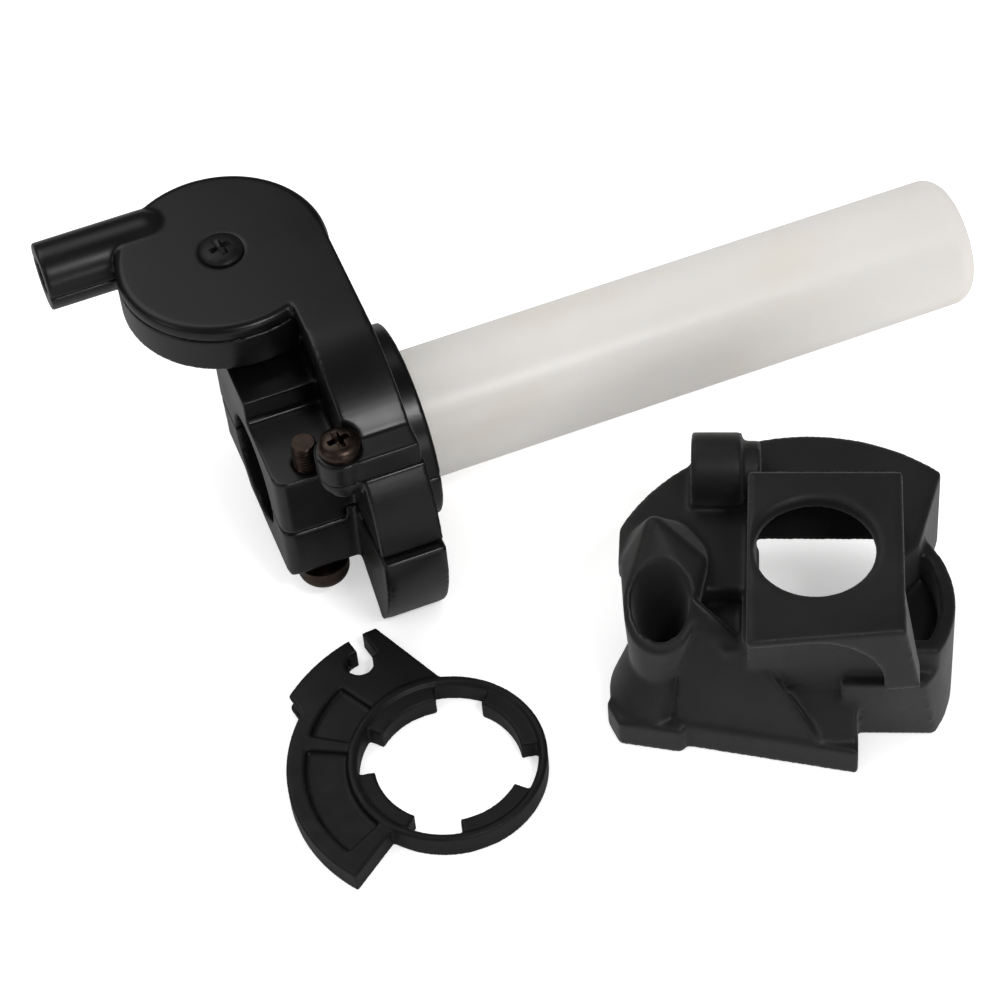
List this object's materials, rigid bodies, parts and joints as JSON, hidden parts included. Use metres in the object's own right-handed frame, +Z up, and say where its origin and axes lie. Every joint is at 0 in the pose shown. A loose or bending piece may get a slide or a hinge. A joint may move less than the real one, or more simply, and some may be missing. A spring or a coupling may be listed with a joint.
{
  "type": "throttle grip assembly",
  "caption": "Motorcycle twist throttle: split bar clamp, cam drum and turned cable pulley under a flat cover, plain white grip tube, with a spare cam and a loose rubber cover.",
  "frame": {"origin": "on the handlebar axis, at the clamp's inboard face", "axes": "+X outboard along the handlebar to the grip tube's closed end, +Y forward from the rider to the pulley, +Z up out of the pulley cover's flat top"},
  "size_m": [0.1767, 0.15, 0.058],
  "materials": {
    "housing": "satin black painted casting",
    "lid": "satin black moulded plastic",
    "black_screw": "black oxide",
    "bronze_screw": "dark bronze plating",
    "steel": "turned",
    "bush": "bronze bush",
    "pulley": "turned aluminium",
    "white_plastic": "acetal",
    "tube": "warm white nylon with a soft gloss",
    "cam": "black nylon with scuffed edges",
    "rubber": "matt moulded rubber"
  },
  "bodies": {
    "clamp": {"housing": "housing", "clamp_cap": "housing", "lid": "lid", "lid_screw": "black_screw", "ear_screw": "bronze_screw", "clamp_bolts": "bronze_screw", "clamp_washers": "bronze_screw", "pulley_post": "steel", "pulley_washers": "steel", "inner_washer": "white_plastic", "outer_washer": "white_plastic"},
    "throttle": {"throttle_tube": "tube", "cam": "cam"},
    "cable_pulley": {"pulley": "pulley", "pulley_bush": "bush"},
    "loose_cam": {"spare_cam": "cam"},
    "loose_cover": {"rubber_cover": "rubber"}
  },
  "joints": [
    {"name": "throttle_turn", "type": "hinge", "parent": "clamp", "child": "throttle", "pos_m": [0, 0, 0], "axis": [1, 0, 0], "range_deg": [0, 80]},
    {"name": "pulley_spin", "type": "hinge", "parent": "clamp", "child": "cable_pulley", "pos_m": [0.0063, 0.0259, 0.0283], "axis": [0, 0, 1], "range_deg": [-162, 0]},
    {"name": "spare_cam_lift", "type": "slide", "parent": "clamp", "child": "loose_cam", "axis": [0, 0, 1], "range_m": [0, 0.1]},
    {"name": "rubber_cover_lift", "type": "slide", "parent": "clamp", "child": "loose_cover", "axis": [0, 0, 1], "range_m": [0, 0.1]}
  ],
  "couplings": [
    {"joint": "pulley_spin", "follows": "throttle_turn", "ratio": -2}
  ]
}
